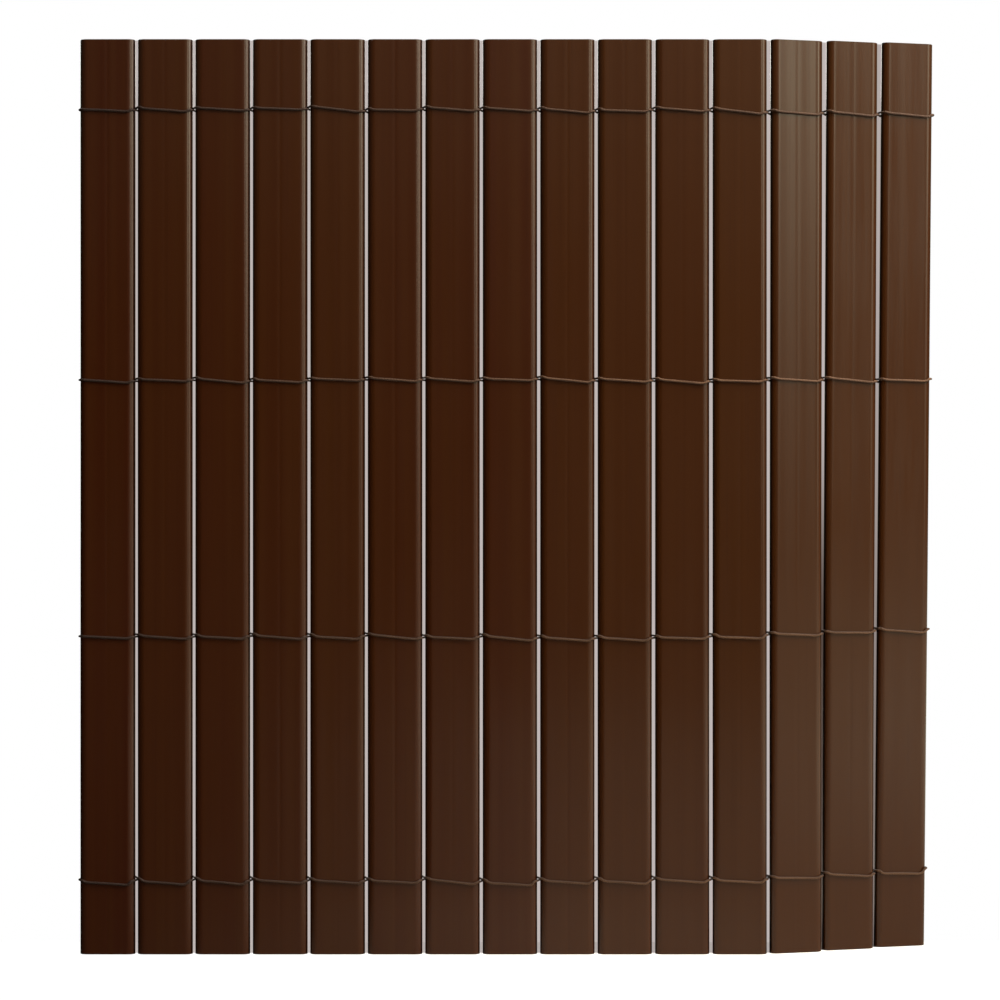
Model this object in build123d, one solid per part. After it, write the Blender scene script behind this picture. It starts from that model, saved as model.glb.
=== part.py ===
from build123d import *
import math
import os

# Slats: hollow flat-oval plastic tubes that stand side by side, open at both ends
slat_count = 15
slat_width = 20.3
slat_thickness = 4.0
slat_height = 342.0
slat_wall = 0.6
slat_web = 0.5

# Binding threads: each row has two, which change sides and cross over in every gap
thread_diameter = 1.0
thread_sides = 6
thread_clearance = 0.05
thread_play = 0.2
thread_bend_angle = 45.0

# Rows of threads: two are placed from the foot of the slats and two from the head
foot_margin = 28.0
bottom_spacing = 91.0
top_spacing = 101.0
head_margin = 26.0

# Leaf: the last slats are turned back, further at the foot than at the head
leaf_slats = 3
leaf_foot_angle = 17.5
leaf_head_angle = 8.5

# Knots: on the back of the two outer slats, where the threads of a row are tied together
knot_diameter = 2.2
knot_length = 2.6
knot_inset = 3.0
knot_lead = 2.0

# The crossing threads keep the slats apart, so the gap follows from their diameter
slat_gap = thread_diameter + thread_play
slat_pitch = slat_width + slat_gap
flank_radius = slat_thickness / 2
flank_offset = slat_width / 2 - flank_radius
wrap_radius = flank_radius + thread_clearance + thread_diameter / 2
crossing_rise = (thread_diameter + thread_clearance) / 2
first_leaf_slat = slat_count - leaf_slats
leaf_angle = (leaf_foot_angle + leaf_head_angle) / 2
row_heights = {
    "bottom": foot_margin,
    "lower": foot_margin + bottom_spacing,
    "upper": slat_height - head_margin - top_spacing,
    "top": slat_height - head_margin,
}


def polar(length, degrees, height=0.0):
    """Vector of a plan length and plan angle, at a height."""
    angle = math.radians(degrees)
    return Vector(length * math.cos(angle), length * math.sin(angle), height)


def plan_angle(vector):
    """Plan angle of a vector, in degrees."""
    return math.degrees(math.atan2(vector.Y, vector.X))


def slat_angle(index):
    """Plan angle of a slat's broad faces: none in the flat run, the mean turn in the leaf."""
    return leaf_angle if index >= first_leaf_slat else 0.0


def slat_place(index, turn):
    """Plan place of a slat's centre, with the leaf turned back by that angle."""
    place = Vector(min(index, first_leaf_slat - 1) * slat_pitch, 0, 0)
    for step in range(first_leaf_slat, index + 1):
        place += polar(slat_pitch, turn / 2 if step == first_leaf_slat else turn)
    return place


def slat_axis(index):
    """Foot of a slat's centre line, and the vector from there to its head."""
    foot = slat_place(index, leaf_foot_angle)
    head = slat_place(index, leaf_head_angle) + Vector(0, 0, slat_height)
    return foot, head - foot


def slat_centre(index, height):
    """Point of a slat's centre line at a height."""
    foot, rise = slat_axis(index)
    return foot + rise * (height / slat_height)


def slat_section():
    """Flat oval with two chambers, parted by a web down the middle."""
    bore_height = slat_thickness - 2 * slat_wall
    bore = SlotOverall(slat_width - 2 * slat_wall, bore_height)
    chambers = bore - Rectangle(slat_web, bore_height)
    return SlotOverall(slat_width, slat_thickness) - chambers


def make_slat(index):
    """One slat: its section carried along its centre line, with both ends cut level."""
    foot, rise = slat_axis(index)
    plane = Plane(origin=foot, x_dir=polar(1, slat_angle(index)), z_dir=(0, 0, 1))
    return extrude(plane * slat_section(), amount=rise.length, dir=rise)


def flank_bend(flank, start, turn, height):
    """Corners of a thread's way round a flank, from the start angle on through the turn."""
    corners = math.ceil(abs(turn) / thread_bend_angle)
    half_step = turn / corners / 2
    reach = wrap_radius / math.cos(math.radians(half_step))
    angles = [start + half_step * (2 * corner + 1) for corner in range(corners)]
    return [flank + polar(reach, angle, height) for angle in angles]


def thread_route(row_height, front_first):
    """Points of one thread: along a face of each slat in turn, changing sides in every gap."""
    points = []
    arrival = None
    for index in range(slat_count):
        in_front = front_first == (index % 2 == 0)
        angle = slat_angle(index)
        side = angle - 90 if in_front else angle + 90
        rise = -crossing_rise if in_front else crossing_rise
        centre = slat_centre(index, row_height)
        half = polar(flank_offset, angle)
        back = polar(wrap_radius, angle + 90)
        knot_start = polar(knot_inset, angle)
        knot_end = polar(knot_inset + knot_length, angle)
        lead_end = polar(knot_inset + knot_length + knot_lead, angle)
        if index > 0:
            turn = angle - arrival
            points += flank_bend(centre - half, side - turn, turn, -rise)
        elif in_front:
            points.append(centre - half + knot_start + back)
            points += flank_bend(centre - half, angle + 90, 180, 0)
        else:
            points += [centre - half + reach + back for reach in (knot_end, lead_end)]
        if index < slat_count - 1:
            next_half = polar(flank_offset, slat_angle(index + 1))
            link = slat_centre(index + 1, row_height) - next_half - centre - half
            dive = math.degrees(math.asin(2 * wrap_radius / link.length))
            arrival = plan_angle(link) + (dive if in_front else -dive)
            points += flank_bend(centre + half, side, arrival - angle, rise)
        elif in_front:
            points += flank_bend(centre + half, side, 180, 0)
            points.append(centre + half - knot_start + back)
        else:
            points += [centre + half - reach + back for reach in (lead_end, knot_end)]
    return points


def thread_plane(origin, along):
    """Plane across a thread, with its own Y axis as near to upright as it goes."""
    sideways = Vector(0, 0, 1).cross(along)
    return Plane(origin=origin, x_dir=sideways, z_dir=along)


def make_knot(index, row_height, end):
    """Knot on the back of the slat at one end of the screen, -1 for the left end and 1 for the right.

    One of its flats is seated at the same clearance as the threads.
    """
    angle = slat_angle(index)
    seat = flank_radius + thread_clearance + knot_diameter / 2
    outer = slat_centre(index, row_height) + polar(end * flank_offset, angle)
    start = outer + polar(-end * knot_inset, angle) + polar(seat, angle + 90)
    flats_up = 180 / thread_sides
    section = RegularPolygon(knot_diameter / 2, thread_sides, major_radius=False, rotation=flats_up)
    return extrude(thread_plane(start, polar(-end, angle)) * section, knot_length)


def make_thread(row_height, front_first):
    """One thread of a row, with the knot at each end where it comes round from the front."""
    points = thread_route(row_height, front_first)
    start_plane = thread_plane(points[0], points[1] - points[0])
    section = start_plane * RegularPolygon(thread_diameter / 2, thread_sides)
    route = Polyline(*points)
    thread = sweep(section, route, transition=Transition.RIGHT)
    if front_first:
        thread += make_knot(0, row_height, -1)
    if front_first == (slat_count % 2 == 1):
        thread += make_knot(slat_count - 1, row_height, 1)
    print(f"thread at {row_height:.0f} mm: {route.length:.1f} mm long, {thread.volume:.2f} mm3")
    return thread


# All pieces by name, first in the frame of the flat run
pieces = {f"slat_{index + 1:02d}": make_slat(index) for index in range(slat_count)}
for row, row_height in row_heights.items():
    pieces[f"{row}_cord_a"] = make_thread(row_height, True)
    pieces[f"{row}_cord_b"] = make_thread(row_height, False)

# The origin is the middle of the foot of the whole screen
boxes = [piece.bounding_box() for piece in pieces.values()]
whole = boxes[0]
for box in boxes[1:]:
    whole = whole.add(box)
to_origin = Location((-whole.center().X, -whole.center().Y, -whole.min.Z))

os.makedirs("parts", exist_ok=True)
for name, piece in pieces.items():
    export_step(to_origin * piece, f"parts/{name}.step")
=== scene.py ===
# %% [markdown]
# # A privacy screen of plastic slats
# The screen is a mat: flat plastic tubes stand side by side, and four rows of thread bind them.
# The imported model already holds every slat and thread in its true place, so it is loaded first.
# Nothing of it is moved. Finer surfaces are built on the same places and shown instead of it.

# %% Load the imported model
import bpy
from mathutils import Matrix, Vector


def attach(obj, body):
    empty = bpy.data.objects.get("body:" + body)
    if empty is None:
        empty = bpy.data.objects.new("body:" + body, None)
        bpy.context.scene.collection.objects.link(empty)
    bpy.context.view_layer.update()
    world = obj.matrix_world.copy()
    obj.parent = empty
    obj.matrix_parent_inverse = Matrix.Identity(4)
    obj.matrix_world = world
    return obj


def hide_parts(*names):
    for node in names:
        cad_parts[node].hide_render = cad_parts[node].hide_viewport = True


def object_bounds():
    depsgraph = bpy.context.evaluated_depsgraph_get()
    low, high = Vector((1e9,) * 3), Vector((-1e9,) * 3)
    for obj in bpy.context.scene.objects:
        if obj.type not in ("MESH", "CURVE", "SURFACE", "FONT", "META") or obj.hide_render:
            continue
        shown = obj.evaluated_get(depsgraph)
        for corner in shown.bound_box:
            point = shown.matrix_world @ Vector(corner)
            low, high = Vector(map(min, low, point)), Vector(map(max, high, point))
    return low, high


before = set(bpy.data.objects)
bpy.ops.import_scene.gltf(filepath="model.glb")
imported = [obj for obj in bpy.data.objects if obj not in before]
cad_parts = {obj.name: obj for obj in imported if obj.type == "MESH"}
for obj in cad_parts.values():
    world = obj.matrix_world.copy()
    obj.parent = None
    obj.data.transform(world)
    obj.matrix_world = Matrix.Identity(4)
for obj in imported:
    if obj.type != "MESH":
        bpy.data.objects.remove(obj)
print(f"{len(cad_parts)} nodes")

# %% Libraries, unit and box
import math
import bpy
import numpy as np

mm = 0.001
cad_box = [list(corner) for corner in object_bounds()]
slat_names = sorted(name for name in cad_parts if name.startswith("slat_"))
slat_count = len(slat_names)
print(f"{slat_count} slats, box from {cad_box[0]} to {cad_box[1]} m")

# %% [markdown]
# ## Where each slat stands
# A slat could be placed from a table of numbers, but the model knows its places better.
# Each slat's mesh is read, and the cut ends at its foot and head give two centres.
# The long axis of an end tells which way the slat faces: the last three are turned back as a leaf.

# %% Measure the slats
cut_tolerance = 0.01 * mm


def node_points(name):
    """All corner points of a node of the model, one row of x, y, z each, in metres."""
    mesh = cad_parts[name].data
    points = np.empty(len(mesh.vertices) * 3)
    mesh.vertices.foreach_get("co", points)
    return points.reshape(-1, 3)


def cut_end(points, height):
    """Centre, plan axis, width and thickness of the cut end at a height.

    The axis is the first principal direction of the end's points. The centre is midway between
    the outermost points along the axis and across it.
    """
    level = np.abs(points[:, 2] - height) < cut_tolerance
    end = np.unique(np.round(points[level, :2], 8), axis=0)
    axis = np.linalg.svd(end - end.mean(axis=0))[2][0]
    axis = axis * np.sign(axis[0])
    side = np.array([-axis[1], axis[0]])
    along = end @ axis
    across = end @ side
    centre = axis * (along.min() + along.max()) / 2 + side * (across.min() + across.max()) / 2
    return centre, axis, np.ptp(along), np.ptp(across)


slat_height = cad_box[1][2]
ends = [(cut_end(node_points(name), 0), cut_end(node_points(name), slat_height)) for name in slat_names]
foot = np.array([low[0] for low, high in ends])
head = np.array([high[0] for low, high in ends])
slat_turn = np.array([math.atan2(low[1][1], low[1][0]) for low, high in ends])
slat_width = float(np.mean([low[2] for low, high in ends]))
slat_thickness = float(np.mean([low[3] for low, high in ends]))
flank_radius = slat_thickness / 2
flank_offset = slat_width / 2 - flank_radius
print(f"slat {slat_width / mm:.2f} x {slat_thickness / mm:.2f} x {slat_height / mm:.1f} mm")
print("turned by", np.round(np.degrees(slat_turn), 2), "degrees")

# %% [markdown]
# ## The section of a slat
# The plastic is pressed through a die as a flat oval tube, with a web down the middle.
# A circle scaled flat would give the wrong flanks, so the section is put together from straight
# faces and flanks of half an ellipse. The shoulders start early and soft, which draws out their gloss.
# Half of the section is enough: the other half is the same, turned about.

# %% Section of a slat
slat_wall = 0.6 * mm
slat_web = 0.5 * mm
shoulder = 2.8 * mm
face_steps = 14
flank_steps = 25


def half_oval(half_width, half_thickness, reach, inner_edge):
    """Half of a flat oval, from the front of the inner edge round the flank to its back.

    The straight faces are sampled at half the step plus half its square, so closer together near the
    inner edge. The flank is half an ellipse with that reach. Returns the points and the outward
    directions.
    """
    flat_end = half_width - reach
    step = np.linspace(0, 1, face_steps, endpoint=False)
    flat = inner_edge + (flat_end - inner_edge) * (0.5 * step + 0.5 * step ** 2)
    angle = np.linspace(-math.pi / 2, math.pi / 2, flank_steps)
    along = np.concatenate([flat, flat_end + reach * np.cos(angle), flat[::-1]])
    across = np.concatenate([-np.ones(face_steps), np.sin(angle), np.ones(face_steps)])
    slope = np.concatenate([np.zeros(face_steps), np.cos(angle), np.zeros(face_steps)])
    outward = np.stack([slope / reach, across / half_thickness], axis=1)
    outward = outward / np.linalg.norm(outward, axis=1)[:, None]
    return np.stack([along, across * half_thickness], axis=1), outward


half_points, half_outward = half_oval(slat_width / 2, flank_radius, shoulder, 0.0)
outer_points = np.concatenate([half_points[:-1], -half_points[:-1]])
outer_outward = np.concatenate([half_outward[:-1], -half_outward[:-1]])
bore = [size - slat_wall for size in (slat_width / 2, flank_radius, shoulder)]
chamber_points = half_oval(*bore, slat_web / 2)[0]
print(f"section of {len(outer_points)} points, with two chambers of {len(chamber_points)}")

# %% [markdown]
# ## Carrying the section up the slat
# An extruded slat is never quite straight or flat. The faces sink a little over the web and over
# each chamber, the slat bows by a few tenths of a millimetre, and it leans and twists by a degree
# at most. None of that is seen as shape, but the gloss shows it: every slat mirrors the room in a
# way of its own. The slats at the left are a shade wider, so the gaps between them are narrower.

# %% Faces of a slat
slat_rows = 49
edge_ease = 0.12 * mm
row_share = np.linspace(0, 1, slat_rows - 2)
row_height = np.concatenate([[0], edge_ease + (slat_height - 2 * edge_ease) * row_share, [slat_height]])
row_ease = np.zeros(slat_rows)
row_ease[[0, -1]] = edge_ease


def wall_faces(columns, start, inward=False):
    """Four-sided faces of a wall: each row joined to the next one up, closed round the loop."""
    row, column = np.meshgrid(np.arange(slat_rows - 1), np.arange(columns), indexing="ij")
    after = (column + 1) % columns
    corners = [row * columns + column, row * columns + after]
    corners += [(row + 1) * columns + after, (row + 1) * columns + column]
    faces = np.stack(corners, axis=-1).reshape(-1, 4) + start
    return faces[:, ::-1] if inward else faces


def cap_faces(outer, right, left, upward):
    """Faces of a cut end: two rings between the wall's outline and a chamber's, and the web."""
    half = len(right) - 1
    ring = np.arange(half)
    loop = np.append(outer, outer[0])
    right_ring = np.stack([loop[ring], loop[ring + 1], right[ring + 1], right[ring]], axis=1)
    left_ring = np.stack([loop[half + ring], loop[half + ring + 1], left[ring + 1], left[ring]], axis=1)
    web = np.array([[right[0], right[-1], left[0], left[-1]]])
    quads = np.concatenate([right_ring, left_ring, web])
    tips = np.array([[loop[0], right[0], left[-1]], [loop[half], left[0], right[-1]]])
    return (quads, tips) if upward else (quads[:, ::-1], tips[:, ::-1])


outer_count = len(outer_points)
chamber_count = len(chamber_points)
right_start = slat_rows * outer_count
left_start = right_start + slat_rows * chamber_count
outer_ring = np.arange(outer_count)
chamber_ring = np.arange(chamber_count)
last_row = slat_rows - 1
low_quads, low_tips = cap_faces(outer_ring, right_start + chamber_ring, left_start + chamber_ring, False)
high_quads, high_tips = cap_faces(
    last_row * outer_count + outer_ring,
    right_start + last_row * chamber_count + chamber_ring,
    left_start + last_row * chamber_count + chamber_ring,
    True,
)
slat_walls = np.concatenate([
    wall_faces(outer_count, 0),
    wall_faces(chamber_count, right_start, inward=True),
    wall_faces(chamber_count, left_start, inward=True),
])
cut_faces = [low_quads, high_quads, low_tips, high_tips]
slat_faces = slat_walls.tolist() + [face for group in cut_faces for face in group.tolist()]
cut_flag = (np.arange(len(slat_faces)) >= len(slat_walls)).astype(float)
print(f"{len(slat_faces)} faces a slat, {int(cut_flag.sum())} of them on its cut ends")

# %% Unevenness of the slats
marked_slats = [0, 3, 5, 8]
marked_sink = 0.045 * mm
lean_scatter = 0.25
twist_scatter = 0.2
bow_waves = np.array([0.2, 0.1, 0.07])
leaf_lean = [-1.0, 0.0, -0.5]
chance = np.random.default_rng(15)
web_sink = chance.uniform(0.006, 0.03, slat_count) * mm
web_sink[marked_slats] = marked_sink
chamber_sink = chance.uniform(0.01, 0.04, slat_count) * mm
bow = chance.normal(0, 1, (slat_count, len(bow_waves))) * bow_waves * mm
lean = np.radians(chance.normal(0, lean_scatter, slat_count))
lean[-len(leaf_lean):] = np.radians(leaf_lean)
twist = np.radians(chance.normal(0, twist_scatter, slat_count))
widening = np.linspace(0.15, -0.05, slat_count) * mm
print(f"bow of up to {np.abs(bow).max() / mm:.2f} mm")

# %% Surface of a slat
web_mark_width = 0.7 * mm


def slat_axis(index, share):
    """Plan place and turn of a slat's centre line at a share of its height.

    The line runs straight from foot to head and is pushed back by three sine waves of the height.
    The turn is the slat's plan angle, a lean of its own and a twist that grows with height.
    """
    turn = slat_turn[index] + lean[index] + twist[index] * (share - 0.5)
    waves = sum(bow[index, wave] * np.sin((wave + 1) * math.pi * share) for wave in range(len(bow_waves)))
    x = foot[index, 0] + (head[index, 0] - foot[index, 0]) * share - waves * np.sin(turn)
    y = foot[index, 1] + (head[index, 1] - foot[index, 1]) * share + waves * np.cos(turn)
    return x, y, turn


def slat_surface(index):
    """Points of one slat, for every row of its height and every point of its section.

    The section is carried along the slat's centre line and turned with it. Its faces sink by a
    narrow bell over the web and a squared sine over each chamber, and its flanks stand out by the
    slat's own widening.
    """
    centre_x, centre_y, turn = slat_axis(index, (row_height / slat_height)[:, None])
    along = outer_points[:, 0]
    bell = web_sink[index] * np.exp(-(along / web_mark_width) ** 2)
    sink = bell + chamber_sink[index] * np.sin(math.pi * np.clip(along / flank_offset, -1, 1)) ** 2
    inset = row_ease[:, None] + sink * np.abs(outer_outward[:, 1]) ** 8
    inset = inset - widening[index] * outer_outward[:, 0] ** 2
    outer = np.stack([outer_points[:, axis] - inset * outer_outward[:, axis] for axis in (0, 1)])
    right = np.stack([np.tile(chamber_points[:, axis], (slat_rows, 1)) for axis in (0, 1)])

    walls = []
    for across, depth in (outer, right, -right):
        x = centre_x + across * np.cos(turn) - depth * np.sin(turn)
        y = centre_y + across * np.sin(turn) + depth * np.cos(turn)
        z = np.broadcast_to(row_height[:, None], x.shape)
        walls.append(np.stack([x, y, z], axis=-1).reshape(-1, 3))
    return np.concatenate(walls)


# %% Make the slats
crease_angle = math.radians(35)
painted_shade_start = 0.6
painted_shade_blend = 0.3
tone_scatter = 0.2
painted_falloff = 0.7


def new_piece(name, points, faces):
    """A mesh object of those points and faces, smooth but for creases sharper than the crease angle."""
    mesh = bpy.data.meshes.new(name)
    mesh.from_pydata(points.tolist(), [], faces)
    mesh.shade_smooth()
    mesh.set_sharp_from_angle(angle=crease_angle)
    piece = bpy.data.objects.new(name, mesh)
    bpy.context.scene.collection.objects.link(piece)
    return piece


slat_pieces = []
slat_painted_shade = np.zeros(slat_rows * (outer_count + 2 * chamber_count))
# Painted shade: outer points that face sideways, towards the next slat, get a factor that darkens them.
outer_painted_shade = np.clip((np.abs(outer_outward[:, 0]) - painted_shade_start) / painted_shade_blend, 0, 1)
slat_painted_shade[:slat_rows * outer_count] = np.tile(outer_painted_shade, slat_rows)
slat_tone_and_falloff = chance.normal(0, tone_scatter, slat_count)
# Painted light: the trend makes the slats darker and redder to the left, as if the light fell off there.
slat_tone_and_falloff += painted_falloff * (2 * np.sqrt(np.linspace(0, 1, slat_count)) - 1)
for index, name in enumerate(slat_names):
    piece = new_piece(f"pvc_{name}", slat_surface(index), slat_faces)
    tone = piece.data.attributes.new("slat_tone_and_falloff", "FLOAT", "POINT")
    tone.data.foreach_set("value", np.full(len(piece.data.vertices), slat_tone_and_falloff[index]))
    painted_shade = piece.data.attributes.new("flank_painted_shade", "FLOAT", "POINT")
    painted_shade.data.foreach_set("value", slat_painted_shade)
    cut = piece.data.attributes.new("cut_end", "FLOAT", "FACE")
    cut.data.foreach_set("value", cut_flag)
    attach(piece, "root")
    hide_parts(name)
    slat_pieces.append(piece)
print(f"{len(slat_pieces)} slats of {len(slat_pieces[0].data.vertices)} points")

# %% [markdown]
# ## The way of a binding thread
# Each row has two threads. In every gap they change sides and cross, so each slat has one thread
# in front and one behind. The way is laid down by a few points for each slat: two round each flank,
# and four along the face. A smooth NURBS spline led by such points bends as a pulled thread does.

# %% Route of a thread
thread_radius = 0.5 * mm
thread_clearance = 0.04 * mm
wrap_radius = flank_radius + thread_clearance + thread_radius
crossing_rise = 0.46 * mm
row_levels = {"bottom": 28 * mm, "lower": 119 * mm, "upper": 215 * mm, "top": 316 * mm}
row_slack = {"bottom": 1.5, "lower": 1.2, "upper": 0.8, "top": 0.8}
leaf_lift = {"bottom": 1.2 * mm, "lower": 1.5 * mm, "upper": 0.2 * mm, "top": -0.3 * mm}
knot_inset = 3.0 * mm
face_stops = np.array([-0.96, -0.35, 0.45, 0.98]) * flank_offset
face_ramp = np.array([0.02, 0.32, 0.72, 0.98])
face_slump = np.array([0.75, 0.75, 0.85, 1.0])
back_slump = 0.25
quarter_turns = np.array([0.25, 0.75])
wrap_turns = np.radians([22.5, 67.5, 112.5, 157.5])


def plan(angle):
    """Unit vectors in plan for an array of angles."""
    return np.stack([np.cos(angle), np.sin(angle)], axis=-1)


def thread_route(levels, front_first, droop):
    """Points of a thread, as plan places and heights in the order in which it passes them.

    Round a flank the points stand on the corners of a polygon about the wrapping circle. In a gap
    the thread runs on the common tangent of the two flanks. Along a face it starts at its crossing
    height, and in front it droops towards the right before it hooks up into the next gap.
    """
    front = (np.arange(slat_count) % 2 == 0) == front_first
    side = np.where(front, -math.pi / 2, math.pi / 2)
    lift = np.where(front, crossing_rise, -crossing_rise)
    x, y, turn = slat_axis(np.arange(slat_count), levels.mean() / slat_height)
    centre = np.stack([x, y], axis=1)
    right = centre + flank_offset * plan(turn)
    left = centre - flank_offset * plan(turn)
    link = left[1:] - right[:-1]
    dive = np.arcsin(np.minimum(2 * wrap_radius / np.hypot(link[:, 0], link[:, 1]), 1))
    way = np.arctan2(link[:, 1], link[:, 0]) - np.sign(side[:-1]) * dive

    away = way - turn[:-1]
    home = turn[1:] - way
    right_angle = (turn + side)[:-1, None] + away[:, None] * quarter_turns
    left_angle = (turn + side)[1:, None] - home[:, None] * quarter_turns[::-1]
    right_reach = wrap_radius / np.cos(away / 4)
    left_reach = wrap_radius / np.cos(home / 4)
    right_bend = right[:-1, None] + right_reach[:, None, None] * plan(right_angle)
    left_bend = left[1:, None] + left_reach[:, None, None] * plan(left_angle)

    face = centre[:, None] + face_stops[None, :, None] * plan(turn)[:, None]
    face = face + wrap_radius * plan(turn + side)[:, None]
    left_level = levels[:-1] + lift
    right_level = levels[1:] - lift
    face_level = left_level[:, None] + (right_level - left_level)[:, None] * face_ramp
    face_level = face_level - np.where(front, 1.0, back_slump)[:, None] * droop[:, None] * face_slump

    points = []
    for index in range(slat_count):
        if index > 0:
            points.append(np.column_stack([left_bend[index - 1], np.full(2, left_level[index])]))
        points.append(np.column_stack([face[index], face_level[index]]))
        if index < slat_count - 1:
            points.append(np.column_stack([right_bend[index], np.full(2, right_level[index])]))
    return points, (left[0], turn[0], -1), (right[-1], turn[-1], 1)


def outer_wrap(flank, turn, sign, level):
    """Points round an outer flank from the front face to the knot on the back.

    Four corners of a polygon about the wrapping circle, then the edge of the back face and the knot's
    place on it.
    """
    angle = turn + sign * (wrap_turns - math.pi / 2)
    corners = flank + sign * wrap_radius / math.cos(wrap_turns[0]) * plan(angle)
    back_edge = flank + wrap_radius * plan(turn + math.pi / 2)
    knot = back_edge - sign * knot_inset * plan(turn)
    places = np.vstack([corners, back_edge, knot])
    return np.column_stack([places, np.full(len(places), level)])


print(f"the threads wrap the flanks at {wrap_radius / mm:.2f} mm")

# %% [markdown]
# ## From route to yarn
# The thread is spun from three plies. A plain round tube would look like wire, so the section has
# three lobes, and it turns as it is carried along the spline. The lobes then wind like real plies.
# Between two slats the yarn is squeezed, so it is a quarter thinner in the gaps.

# %% Yarn along a route
ply_count = 3
ply_lay = 3.4 * mm
ply_depth = 0.2
ring_steps = 12
ring_gap = 0.25 * mm
least_spans = 8
spline_resolution = 10


def spline_points(name, control, closed=False):
    """Points of the NURBS spline of third order that these control points give, evenly spaced."""
    curve = bpy.data.curves.new(name, "CURVE")
    curve.dimensions = "3D"
    curve.resolution_u = spline_resolution
    spline = curve.splines.new("NURBS")
    spline.points.add(len(control) - 1)
    spline.points.foreach_set("co", np.column_stack([control, np.ones(len(control))]).ravel())
    spline.order_u = 3
    spline.use_endpoint_u = not closed
    spline.use_cyclic_u = closed
    carrier = bpy.data.objects.new(name, curve)
    mesh = bpy.data.meshes.new_from_object(carrier)
    points = np.empty(len(mesh.vertices) * 3)
    mesh.vertices.foreach_get("co", points)
    points = points.reshape(-1, 3)
    bpy.data.objects.remove(carrier)
    bpy.data.curves.remove(curve)
    bpy.data.meshes.remove(mesh)
    if closed:
        points = np.vstack([points, points[:1]])
    length = np.concatenate([[0], np.cumsum(np.linalg.norm(np.diff(points, axis=0), axis=1))])
    even = np.linspace(0, length[-1], max(int(length[-1] / ring_gap), least_spans) + 1)
    return np.column_stack([np.interp(even, length, points[:, axis]) for axis in range(3)]), length[-1]


def yarn(path, upright, radius, closed=False):
    """Points and faces of yarn along a path: rings across it, each a circle with three lobes.

    The radius is one for all rings, or one for each. A share of it, the depth of the creases between
    the plies, is scaled by the size of a cosine of one and a half times the angle. The angle starts at
    a phase that grows along the path, one turn for each lay.
    """
    along = np.gradient(path, axis=0)
    if closed:
        along = np.roll(path[:-1], -1, axis=0) - np.roll(path[:-1], 1, axis=0)
        path = path[:-1]
    along = along / np.linalg.norm(along, axis=1)[:, None]
    sideways = np.cross(upright, along)
    sideways = sideways / np.linalg.norm(sideways, axis=1)[:, None]
    up = np.cross(along, sideways)
    rings = len(path)
    angle = np.linspace(0, 2 * math.pi, ring_steps, endpoint=False)
    turns = max(round(rings * ring_gap / ply_lay), 1)
    phase = 2 * math.pi * turns * np.arange(rings) / rings
    wave = np.abs(np.cos(ply_count / 2 * (angle[None, :] - phase[:, None])))
    lobe = (1 - ply_depth) + ply_depth * wave
    reach = (np.reshape(radius, (-1, 1)) * lobe)[:, :, None]
    circle = np.cos(angle)[None, :, None] * sideways[:, None] + np.sin(angle)[None, :, None] * up[:, None]
    points = (path[:, None] + reach * circle).reshape(-1, 3)
    spans = rings if closed else rings - 1
    row, column = np.meshgrid(np.arange(spans), np.arange(ring_steps), indexing="ij")
    after = (column + 1) % ring_steps
    next_row = (row + 1) % rings
    corners = [row * ring_steps + column, row * ring_steps + after]
    corners += [next_row * ring_steps + after, next_row * ring_steps + column]
    faces = np.stack(corners, axis=-1).reshape(-1, 4).tolist()
    if not closed:
        faces.append(list(range(ring_steps))[::-1])
        faces.append(list(range((rings - 1) * ring_steps, rings * ring_steps)))
    return points, faces


print(f"{ply_count} plies, one turn in {ply_lay / mm:.1f} mm")

# %% [markdown]
# ## Knots
# On the back of the two outer slats the threads of a row are tied together. An overhand knot is a
# trefoil, a curve with a short formula, so it is drawn with the same yarn instead of as a ball.

# %% Knots
knot_size = 0.40 * mm
knot_radius = 0.42 * mm
knot_clearance = 0.05 * mm
knot_shift = 1.2 * mm
knot_steps = np.linspace(0, 2 * math.pi, 36, endpoint=False)


def trefoil(centre, turn):
    """Control points of an overhand knot that lies flat on the back of a slat.

    Across: sine of t plus twice the sine of 2t. Up: cosine of t less twice the cosine of 2t.
    In depth: less the sine of 3t.
    """
    across = np.sin(knot_steps) + 2 * np.sin(2 * knot_steps)
    up = np.cos(knot_steps) - 2 * np.cos(2 * knot_steps)
    depth = -np.sin(3 * knot_steps)
    place = across[:, None] * plan(turn) + depth[:, None] * plan(turn + math.pi / 2)
    return np.column_stack([centre[:2] + knot_size * place, centre[2] + knot_size * up])


def knot_surface(name, centre, turn):
    """Yarn along an overhand knot, seated on the back face."""
    path = spline_points(name, trefoil(centre, turn), closed=True)[0]
    upright = np.append(plan(turn + math.pi / 2), 0)
    return yarn(path, upright, knot_radius, closed=True)


print(f"a knot is led by {len(knot_steps)} points")

# %% Place on the slats
face_start = 0.33
face_blend = 0.57


def face_share(path):
    """How far each point of a path lies on a face, from 0 in a gap to 1, and whether that is the front.

    The share grows with the distance from the nearest slat's middle plane, from a third of the
    thread's own distance on the face to nine tenths of it.
    """
    x, y, turn = slat_axis(np.arange(slat_count), path[:, 2].mean() / slat_height)
    offset = path[:, None, :2] - np.stack([x, y], axis=1)
    along = np.abs((offset * plan(turn)).sum(axis=2))
    out = (offset * plan(turn - math.pi / 2)).sum(axis=2)
    nearest = out[np.arange(len(path)), along.argmin(axis=1)]
    share = np.clip((np.abs(nearest) / wrap_radius - face_start) / face_blend, 0, 1)
    return share, nearest > 0


print(f"a face starts {(face_start + face_blend) * wrap_radius / mm:.2f} mm off the middle of a slat")

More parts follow.
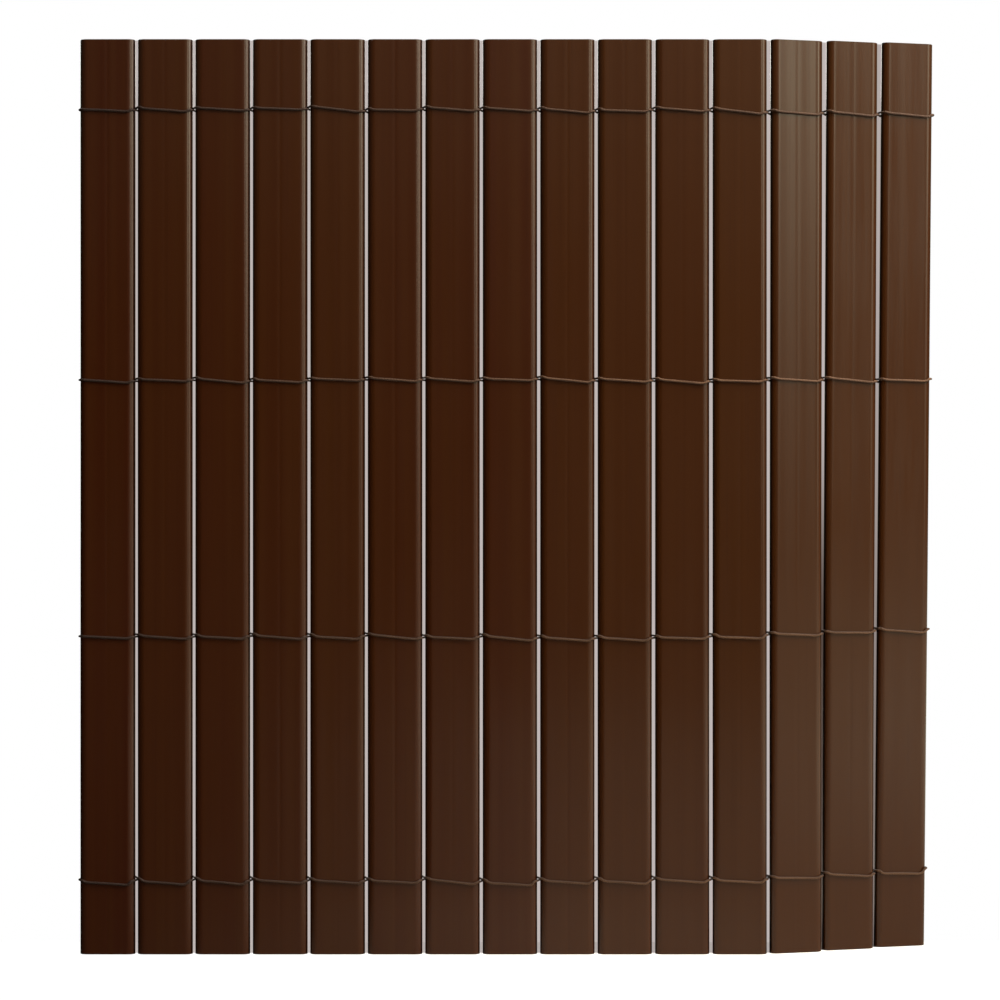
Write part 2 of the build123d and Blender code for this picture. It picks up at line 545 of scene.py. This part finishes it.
# %% Make the threads
gap_squeeze = 0.24
# Painted light: a ring of the thread is lighter on its upper half in the upper rows and on its lower half
# in the lower rows.
painted_lit_level = 0.7
painted_lit_side = {"bottom": -0.45, "lower": -0.45, "upper": 0.45, "top": 0.45}
painted_back_light = 0.5
lift_start = 11
lift_span = 2
level_scatter = 0.28
droop_range = (0.45, 1.15)
upright = np.array([0.0, 0.0, 1.0])
thread_pieces = []
for row, level in row_levels.items():
    levels = level + chance.normal(0, level_scatter, slat_count + 1) * mm
    levels += leaf_lift[row] * np.clip((np.arange(len(levels)) - lift_start) / lift_span, 0, 1)
    droop = chance.uniform(*droop_range, slat_count) * row_slack[row] * mm
    rise = np.sin(np.linspace(0, 2 * math.pi, ring_steps, endpoint=False))
    lit_half = np.clip(painted_lit_level + painted_lit_side[row] * rise, 0, 1)
    for letter in "ab":
        name = f"{row}_cord_{letter}"
        stretches, left_end, right_end = thread_route(levels, letter == "a", droop)
        if letter == "a":
            stretches.insert(0, outer_wrap(*left_end, levels[0])[::-1])
            stretches.append(outer_wrap(*right_end, levels[-1]))
        path, length = spline_points(name, np.vstack(stretches))
        share, in_front = face_share(path)
        squeezed = thread_radius * (1 - gap_squeeze * (1 - share))
        points, faces = yarn(path, upright, squeezed)
        # Painted light and shade: tan where the thread lies on a front face, dark in the gaps, half as tan
        # on the back and on the knots.
        painted_light = (np.where(in_front, share, painted_back_light * share)[:, None] * lit_half).ravel()
        if letter == "a":
            for (flank, turn, sign), height in ((left_end, levels[0]), (right_end, levels[-1])):
                seat = flank_radius + knot_clearance + knot_size + knot_radius
                knot_place = flank - sign * (knot_inset + knot_shift) * plan(turn)
                knot_place = knot_place + seat * plan(turn + math.pi / 2)
                more, more_faces = knot_surface(name, np.append(knot_place, height), turn)
                faces += (np.array(more_faces) + len(points)).tolist()
                points = np.vstack([points, more])
                painted_light = np.append(painted_light, np.full(len(more), painted_back_light))
        piece = new_piece(f"yarn_{name}", points, faces)
        painted_light_layer = piece.data.attributes.new("painted_light", "FLOAT", "POINT")
        painted_light_layer.data.foreach_set("value", painted_light)
        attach(piece, "root")
        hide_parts(name)
        thread_pieces.append(piece)
        print(f"{name}: {length / mm:.1f} mm long, {len(faces)} faces")

# %% [markdown]
# ## The plastic
# Brown PVC comes out of the die with a satin gloss and fine lines along its length. The lines are
# noise that is stretched along the height: it shifts the colour a little, the gloss more, and dents
# the surface by a few microns. A flat brown would look like paint, so no two slats are quite alike:
# each has a tone of its own. From left to right they also turn from a darker, redder to a yellower
# brown, which is painted light that stands in for light falling off towards the left. The flanks,
# where the slats stand close together, are darkened with painted shade.


# %% Helpers for node trees
def node(tree, kind, **values):
    """A new shader node, with its settings and unlinked inputs given by name."""
    made = tree.nodes.new(kind)
    for name, value in values.items():
        label = name.replace("_", " ")
        if label in made.inputs:
            made.inputs[label].default_value = value
        else:
            setattr(made, name, value)
    return made


def new_material(name):
    """A material with an empty node tree but for its shader, and the tree and shader."""
    material = bpy.data.materials.new(name)
    material.use_nodes = True
    tree = material.node_tree
    shader = tree.nodes["Principled BSDF"]
    return material, tree, shader


def stretched_noise(tree, scale, detail, roughness=0.5):
    """Noise on Object coordinates with its own scale in each direction, per metre."""
    place = node(tree, "ShaderNodeTexCoord")
    stretch = node(tree, "ShaderNodeMapping")
    stretch.inputs["Scale"].default_value = scale
    noise = node(tree, "ShaderNodeTexNoise", Scale=1.0, Detail=detail, Roughness=roughness)
    tree.links.new(place.outputs["Object"], stretch.inputs["Vector"])
    tree.links.new(stretch.outputs["Vector"], noise.inputs["Vector"])
    return noise.outputs["Fac"]


def remap(tree, source, low, high, start, end):
    """A value carried from one range to another, held at its ends."""
    ranged = node(tree, "ShaderNodeMapRange")
    for socket, value in zip(("From Min", "From Max", "To Min", "To Max"), (low, high, start, end)):
        ranged.inputs[socket].default_value = value
    tree.links.new(source, ranged.inputs["Value"])
    return ranged.outputs["Result"]


def colour_mix(tree, factor, first, second):
    """A mix of two colours or colour sockets by a factor.

    The Mix node has its colours at inputs 6 and 7, and the mixed colour at output 2.
    """
    mix = node(tree, "ShaderNodeMix", data_type="RGBA")
    for socket, value in ((mix.inputs[6], first), (mix.inputs[7], second)):
        if isinstance(value, tuple):
            socket.default_value = (*value, 1.0)
        else:
            tree.links.new(value, socket)
    tree.links.new(factor, mix.inputs[0])
    return mix.outputs[2]


def combine(tree, operation, first, second):
    """The sum, product or other plain operation of two values or sockets."""
    reckoning = node(tree, "ShaderNodeMath", operation=operation)
    for socket, value in zip(reckoning.inputs, (first, second)):
        if isinstance(value, (int, float)):
            socket.default_value = value
        else:
            tree.links.new(value, socket)
    return reckoning.outputs[0]


def product(tree, *factors):
    """The product of several values or sockets."""
    result = factors[0]
    for factor in factors[1:]:
        result = combine(tree, "MULTIPLY", result, factor)
    return result


def object_axes(tree):
    """The sockets of the three Object coordinates, in metres: across, ahead and upward."""
    parts = node(tree, "ShaderNodeSeparateXYZ")
    tree.links.new(node(tree, "ShaderNodeTexCoord").outputs["Object"], parts.inputs[0])
    return [parts.outputs[axis] for axis in "XYZ"]


# %% PVC of the slats
pvc, tree, shader = new_material("brown_pvc")
fine_lines = stretched_noise(tree, (1500, 1500, 9), 3)
broad_bands = stretched_noise(tree, (260, 260, 2.5), 2)
cloudy = stretched_noise(tree, (28, 28, 14), 3)
tone = node(tree, "ShaderNodeAttribute", attribute_name="slat_tone_and_falloff").outputs["Fac"]
cut = node(tree, "ShaderNodeAttribute", attribute_name="cut_end").outputs["Fac"]
red_brown = (0.0430, 0.0082, 0.0028)
plain_brown = (0.0490, 0.0145, 0.0034)
pale_brown = (0.0560, 0.0175, 0.0042)
dark_brown = (0.0300, 0.0068, 0.0017)
flank_shade_brown = (0.0080, 0.0022, 0.0010)
# Each slat's tone is its own random tone plus the painted falloff of light towards the left.
brown = colour_mix(tree, remap(tree, tone, -0.8, 0.8, 0, 1), red_brown, plain_brown)
brown = colour_mix(tree, remap(tree, broad_bands, 0.35, 0.7, 0, 0.5), brown, pale_brown)
brown = colour_mix(tree, remap(tree, fine_lines, 0.55, 0.8, 0, 0.35), brown, dark_brown)
# Painted shade darkens the flanks, where the slats stand close together.
painted_shade = node(tree, "ShaderNodeAttribute", attribute_name="flank_painted_shade").outputs["Fac"]
brown = colour_mix(tree, painted_shade, brown, flank_shade_brown)
sawn = stretched_noise(tree, (3000, 700, 700), 3)
sawn_dark = (0.060, 0.026, 0.012)
sawn_pale = (0.120, 0.062, 0.034)
sawn_brown = colour_mix(tree, remap(tree, sawn, 0.3, 0.7, 0, 1), sawn_dark, sawn_pale)
tree.links.new(colour_mix(tree, cut, brown, sawn_brown), shader.inputs["Base Color"])
sawn_roughness = 0.62
satin = remap(tree, cloudy, 0.3, 0.7, 0.13, 0.2)
satin = combine(tree, "ADD", satin, remap(tree, fine_lines, 0.3, 0.8, -0.02, 0.06))
rough = node(tree, "ShaderNodeMix", data_type="FLOAT")
tree.links.new(cut, rough.inputs[0])
tree.links.new(satin, rough.inputs[2])
rough.inputs[3].default_value = sawn_roughness
tree.links.new(rough.outputs[0], shader.inputs["Roughness"])
shader.inputs["IOR"].default_value = 1.5
shader.inputs["Specular IOR Level"].default_value = 0.4
ripple = node(tree, "ShaderNodeBump", Strength=1.0, Distance=0.03 * mm)
tree.links.new(stretched_noise(tree, (70, 70, 40), 2), ripple.inputs["Height"])
grain = node(tree, "ShaderNodeBump", Strength=0.3, Distance=0.02 * mm)
tree.links.new(fine_lines, grain.inputs["Height"])
tree.links.new(ripple.outputs["Normal"], grain.inputs["Normal"])
tree.links.new(grain.outputs["Normal"], shader.inputs["Normal"])
for piece in slat_pieces:
    piece.data.materials.append(pvc)
print(f"{pvc.name}: {len(tree.nodes)} nodes")

# %% [markdown]
# ## The yarn's finish
# The thread is dull brown synthetic yarn, with paler fibres on top and darker creases between them;
# the creases' darker brown is painted shade. Noise at the scale of the fibres mixes the two browns
# and dents the surface, with a soft sheen on top.
# On the faces the thread's tan is painted light, stronger at the right and weaker at the top, and in
# the gaps its dark brown is painted shade. Each thread is also painted lighter on its upper half in
# the upper rows and on its lower half in the lower rows. So the brown follows the place and how far
# the thread lies on a face.

# %% Yarn
thread_finish, tree, shader = new_material("brown_yarn")
fibres = stretched_noise(tree, (5200, 5200, 5200), 3, 0.6)
worn = stretched_noise(tree, (120, 120, 120), 2)
# Painted shade: the crease colours stand for the shade between the fibres.
crease_in_shade = (0.011, 0.0034, 0.0016)
crease_in_light = (0.090, 0.038, 0.016)
fibre_in_shade = (0.036, 0.0115, 0.0052)
fibre_in_light = (0.240, 0.118, 0.055)
across, ahead, upward = object_axes(tree)
painted_light = node(tree, "ShaderNodeAttribute", attribute_name="painted_light").outputs["Fac"]
# Painted light: the thread turns tan where it is lit, more to the right and less in the top row.
painted_lit_mix = product(
    tree,
    painted_light,
    remap(tree, across, -160 * mm, 80 * mm, 0, 1),
    remap(tree, upward, 330 * mm, 215 * mm, 0.5, 1),
)
crease = colour_mix(tree, painted_lit_mix, crease_in_shade, crease_in_light)
fibre = colour_mix(tree, painted_lit_mix, fibre_in_shade, fibre_in_light)
yarn_brown = colour_mix(tree, remap(tree, fibres, 0.3, 0.7, 0, 1), crease, fibre)
yarn_brown = colour_mix(tree, remap(tree, worn, 0.4, 0.7, 0, 0.4), yarn_brown, crease)
tree.links.new(yarn_brown, shader.inputs["Base Color"])
tree.links.new(remap(tree, fibres, 0.2, 0.8, 0.9, 0.65), shader.inputs["Roughness"])
shader.inputs["Sheen Weight"].default_value = 0.05
shader.inputs["Sheen Roughness"].default_value = 0.5
fluff = node(tree, "ShaderNodeBump", Strength=0.6, Distance=0.08 * mm)
tree.links.new(fibres, fluff.inputs["Height"])
tree.links.new(fluff.outputs["Normal"], shader.inputs["Normal"])
for piece in thread_pieces:
    piece.data.materials.append(thread_finish)
print(f"{thread_finish.name}: {len(tree.nodes)} nodes")

# %% [markdown]
# ## Floor and wall
# The screen stands on a plain pale floor. To the camera the floor is white, but it still takes the
# screen's soft shadow, so part of its white is its own glow and part is lit. A white wall stands
# close behind. It is only seen from the front, and it lights nothing. Behind the screen the wall and
# the floor are painted in shade, a pale grey that shows in the gaps between the slats, and a dark one
# close to the leaf.

# %% Shade of the stage
stage_reach = 6.0
leaf_start = 98 * mm
shade_grey = (0.53, 0.47, 0.455)
deep_shade = (0.06, 0.035, 0.025)
pure_white = (1.0, 1.0, 1.0)


def stage_plane(name, corners):
    """A flat four-cornered stage piece."""
    mesh = bpy.data.meshes.new(name)
    mesh.from_pydata(corners, [], [[0, 1, 2, 3]])
    plane = bpy.data.objects.new(name, mesh)
    bpy.context.scene.collection.objects.link(plane)
    return plane


def smooth_remap(tree, source, low, high, start, end):
    """A value carried from one range to another along an S-shaped curve."""
    result = remap(tree, source, low, high, start, end)
    result.node.interpolation_type = "SMOOTHSTEP"
    return result


def gap_shade(tree, across, upward):
    """Colour of the shade behind the screen: grey, but dark low down where the leaf nears the wall.

    The leaf's first gap turns dark below half height, and the gaps after it are a little darker.
    """
    first_gap = product(
        tree,
        smooth_remap(tree, across, 106 * mm, 114 * mm, 0, 1),
        smooth_remap(tree, across, 126 * mm, 134 * mm, 1, 0),
        smooth_remap(tree, upward, 215 * mm, 120 * mm, 0, 0.93),
    )
    next_gap = product(
        tree,
        smooth_remap(tree, across, 126 * mm, 134 * mm, 0, 1),
        smooth_remap(tree, upward, 280 * mm, 40 * mm, 0.15, 0.65),
    )
    return colour_mix(tree, combine(tree, "ADD", first_gap, next_gap), shade_grey, deep_shade)


def past_leaf_start(tree, across):
    """How far a place lies to the right of the leaf's start, and none to the left of it."""
    return combine(tree, "MAXIMUM", combine(tree, "SUBTRACT", across, leaf_start), 0)


# %% Floor
drop = -0.05 * mm
leaf_slope = 0.28
dim_floor = (0.03, 0.03, 0.03)
lit_floor = (0.62, 0.57, 0.48)
shaded_floor = (0.05, 0.05, 0.05)
floor_corners = [(x * stage_reach, y * stage_reach, drop) for x, y in ((-1, -1), (1, -1), (1, 1), (-1, 1))]
floor = stage_plane("floor", floor_corners)
floor_finish, tree, shader = new_material("pale_floor")
across, ahead, upward = object_axes(tree)
far = node(tree, "ShaderNodeVectorMath", operation="LENGTH")
tree.links.new(node(tree, "ShaderNodeTexCoord").outputs["Object"], far.inputs[0])
distance = far.outputs["Value"]
near = product(
    tree,
    smooth_remap(tree, distance, 0.08, 0.22, 1, 0.66),
    smooth_remap(tree, distance, 1.2, 2.4, 1, 0),
)
# Painted light: the floor's colour is pale only near the screen and to the right, as a pool of light, and
# near black elsewhere.
lit = product(tree, near, remap(tree, across, -165 * mm, 20 * mm, 0, 1))
depth = combine(tree, "SUBTRACT", ahead, product(tree, past_leaf_start(tree, across), leaf_slope))
# Painted shade: behind the screen the floor is dark to other rays and grey to the camera.
behind = product(
    tree,
    smooth_remap(tree, depth, -8 * mm, -6 * mm, 0, 1),
    smooth_remap(tree, depth, 20 * mm, 90 * mm, 1, 0),
    smooth_remap(tree, across, -161 * mm, -158 * mm, 0, 1),
    smooth_remap(tree, across, 156 * mm, 160 * mm, 1, 0),
)
pale = colour_mix(tree, lit, dim_floor, lit_floor)
tree.links.new(colour_mix(tree, behind, pale, shaded_floor), shader.inputs["Base Color"])
shader.inputs["Roughness"].default_value = 0.9
shader.inputs["Specular IOR Level"].default_value = 0.1
floor.data.materials.append(floor_finish)
print("floor", floor.dimensions[:])

# %% Glow of the floor
window_tint = (1.0, 0.94, 0.68)
foot_glow = 0.06
ray = node(tree, "ShaderNodeLightPath")
mirrored = combine(tree, "MAXIMUM", ray.outputs["Is Glossy Ray"], ray.outputs["Is Transmission Ray"])
bearing = combine(tree, "DIVIDE", across, distance)
# Painted light: to glossy rays the floor glows on the right and faintly where it is painted lit, so the
# slats mirror light there.
right_floor = product(
    tree,
    smooth_remap(tree, across, 0.2, 0.7, 0, 1),
    smooth_remap(tree, bearing, 0.62, 0.76, 0.55, 1.05),
    smooth_remap(tree, distance, 1.5, 3.2, 1, 0.12),
)
mirrored = product(tree, mirrored, combine(tree, "ADD", product(tree, lit, foot_glow), right_floor))
dimmed = product(tree, lit, smooth_remap(tree, distance, 0.3, 0.9, 0.25, 0))
white = combine(tree, "SUBTRACT", 1.0, dimmed)
white = product(tree, ray.outputs["Is Camera Ray"], white)
glow = node(tree, "ShaderNodeEmission")
tint = colour_mix(tree, ray.outputs["Is Camera Ray"], window_tint, pure_white)
past_wall = remap(tree, ahead, 14 * mm, 24 * mm, 0, slat_height)
shade = gap_shade(tree, across, past_wall)
tree.links.new(colour_mix(tree, behind, tint, shade), glow.inputs["Color"])
tree.links.new(combine(tree, "ADD", mirrored, white), glow.inputs["Strength"])
both = node(tree, "ShaderNodeAddShader")
tree.links.new(shader.outputs[0], both.inputs[0])
tree.links.new(glow.outputs[0], both.inputs[1])
tree.links.new(both.outputs[0], tree.nodes["Material Output"].inputs["Surface"])
print(f"{floor_finish.name}: {len(tree.nodes)} nodes")

# %% Wall
wall_y = 14.5 * mm
leaf_sight = 0.033
wall_corners = [(x * stage_reach, wall_y, z * stage_reach) for x, z in ((-1, 0), (1, 0), (1, 1), (-1, 1))]
wall = stage_plane("wall", wall_corners)
wall.visible_diffuse = False
wall.visible_glossy = False
wall.visible_transmission = False
wall.visible_shadow = False
wall_finish, tree, shader = new_material("white_wall")
tree.nodes.remove(shader)
across, ahead, upward = object_axes(tree)
sight_height = combine(tree, "ADD", upward, product(tree, past_leaf_start(tree, across), leaf_sight))
# Painted shade: a grey field on the wall behind the screen, ending sharply at the slats' top edge.
shade = product(
    tree,
    smooth_remap(tree, across, -160 * mm, -150 * mm, 0, 1),
    smooth_remap(tree, across, 146 * mm, 156 * mm, 1, 0),
    smooth_remap(tree, sight_height, 345.9 * mm, 346.7 * mm, 1, 0),
)
glow = node(tree, "ShaderNodeEmission", Strength=1.0)
shade_tone = gap_shade(tree, across, upward)
tree.links.new(colour_mix(tree, shade, pure_white, shade_tone), glow.inputs["Color"])
clear = node(tree, "ShaderNodeBsdfTransparent")
facing = node(tree, "ShaderNodeNewGeometry")
one_way = node(tree, "ShaderNodeMixShader")
tree.links.new(facing.outputs["Backfacing"], one_way.inputs[0])
tree.links.new(glow.outputs[0], one_way.inputs[1])
tree.links.new(clear.outputs[0], one_way.inputs[2])
tree.links.new(one_way.outputs[0], tree.nodes["Material Output"].inputs["Surface"])
wall.data.materials.append(wall_finish)
print("wall at", wall_y)

# %% [markdown]
# ## Light
# Gloss shows the room, so the room is drawn with care. On the right is a tall window with a pillar,
# which draws a bright line along each shoulder. A pale ceiling lights the tops of the slats. The left
# and the part behind the camera are dark, or the faces would turn grey. A soft panel above on the
# right is the main light, a low strip fills in the foot, and one more panel lights the back.

# %% Room that the gloss shows
scene = bpy.context.scene
world = bpy.data.worlds.new("studio")
scene.world = world
world.use_nodes = True
tree = world.node_tree
tree.nodes.clear()
towards = node(tree, "ShaderNodeTexCoord")
parts = node(tree, "ShaderNodeSeparateXYZ")
tree.links.new(towards.outputs["Generated"], parts.inputs[0])
across, ahead, upward = (parts.outputs[axis] for axis in "XYZ")
window = product(
    tree,
    smooth_remap(tree, across, 0.36, 0.46, 0, 1),
    smooth_remap(tree, across, 0.84, 0.94, 1, 0),
    smooth_remap(tree, ahead, -0.15, -0.35, 0, 1),
)
pillar = product(
    tree,
    smooth_remap(tree, across, 0.46, 0.56, 0, 0.90),
    smooth_remap(tree, across, 0.65, 0.71, 1, 0),
)
window = product(
    tree,
    window,
    combine(tree, "SUBTRACT", 1.0, pillar),
    remap(tree, upward, 0.03, 0.19, 1.15, 5.0),
    smooth_remap(tree, upward, 0.24, 0.38, 1, 0.05),
)
haze = product(
    tree,
    smooth_remap(tree, across, -0.16, 0.14, 0.0, 0.12),
    smooth_remap(tree, upward, 0.050, 0.065, 1, 0.4),
    smooth_remap(tree, ahead, 0.1, -0.1, 0, 1),
)
ceiling = product(
    tree,
    remap(tree, upward, 0.10, 0.19, 0, 0.45),
    remap(tree, across, -0.17, 0.13, 0.25, 1.0),
    smooth_remap(tree, upward, 0.25, 0.5, 1, 0.3),
)
back_room = smooth_remap(tree, ahead, 0.4, 0.8, 0, 0.3)
room = combine(tree, "ADD", combine(tree, "ADD", window, haze), combine(tree, "ADD", ceiling, back_room))
print(f"the room takes {len(tree.nodes)} nodes")

# %% World
room_light = node(tree, "ShaderNodeBackground", Color=(*window_tint, 1.0))
tree.links.new(room, room_light.inputs["Strength"])
backdrop = node(tree, "ShaderNodeBackground", Color=(*pure_white, 1.0), Strength=1.0)
ray = node(tree, "ShaderNodeLightPath")
seen = combine(tree, "MAXIMUM", ray.outputs["Is Camera Ray"], ray.outputs["Is Transmission Ray"])
shown = node(tree, "ShaderNodeMixShader")
tree.links.new(seen, shown.inputs[0])
tree.links.new(room_light.outputs[0], shown.inputs[1])
tree.links.new(backdrop.outputs[0], shown.inputs[2])
output = node(tree, "ShaderNodeOutputWorld")
tree.links.new(shown.outputs[0], output.inputs["Surface"])
print(f"{world.name}: {len(tree.nodes)} nodes")

# %% Lamps
lamp_white = (1.0, 0.97, 0.92)
screen_middle = np.array([0.0, -0.008, 0.171])


def soft_light(name, azimuth, elevation, distance, size, radiance):
    """A rectangular lamp of a given radiance, aimed at the middle of the screen."""
    lamp = bpy.data.lights.new(name, "AREA")
    lamp.color = lamp_white
    lamp.shape = "RECTANGLE"
    lamp.size, lamp.size_y = size
    lamp.energy = radiance * math.pi * size[0] * size[1]
    holder = bpy.data.objects.new(name, lamp)
    scene.collection.objects.link(holder)
    turn, lift = math.radians(azimuth), math.radians(elevation)
    out = np.array([math.cos(lift) * math.sin(turn), -math.cos(lift) * math.cos(turn), math.sin(lift)])
    holder.location = screen_middle + distance * out
    holder.rotation_euler = (math.pi / 2 - lift, 0, turn)
    return holder


soft_light("key_panel", 60, 43, 0.85, (0.7, 0.45), 10.5)
low_fill = soft_light("low_fill", -12, -8, 0.9, (0.5, 0.08), 5.0)
low_fill.visible_glossy = False
soft_light("back_panel", 190, 30, 1.5, (1.0, 0.8), 5.0)

# %% [markdown]
# ## Camera
# The picture is taken square on, from less than a metre, at half the height of the screen. The
# threads above the lens are seen from below, and those below it from above.

# %% Camera
sensor_width = 36.0
picture_width = 373.6
reach = 900.0
front_face = 10.77
aim_across = -3.36
aim_height = 169.8
lens = bpy.data.cameras.new("camera")
lens.sensor_width = sensor_width
lens.lens = sensor_width * reach / picture_width
camera = bpy.data.objects.new("camera", lens)
camera.location = (aim_across * mm, -(reach + front_face) * mm, aim_height * mm)
camera.rotation_euler = (math.pi / 2, 0, 0)
scene.collection.objects.link(camera)
scene.camera = camera
scene.view_settings.view_transform = "Standard"
print(f"lens of {lens.lens:.2f} mm")
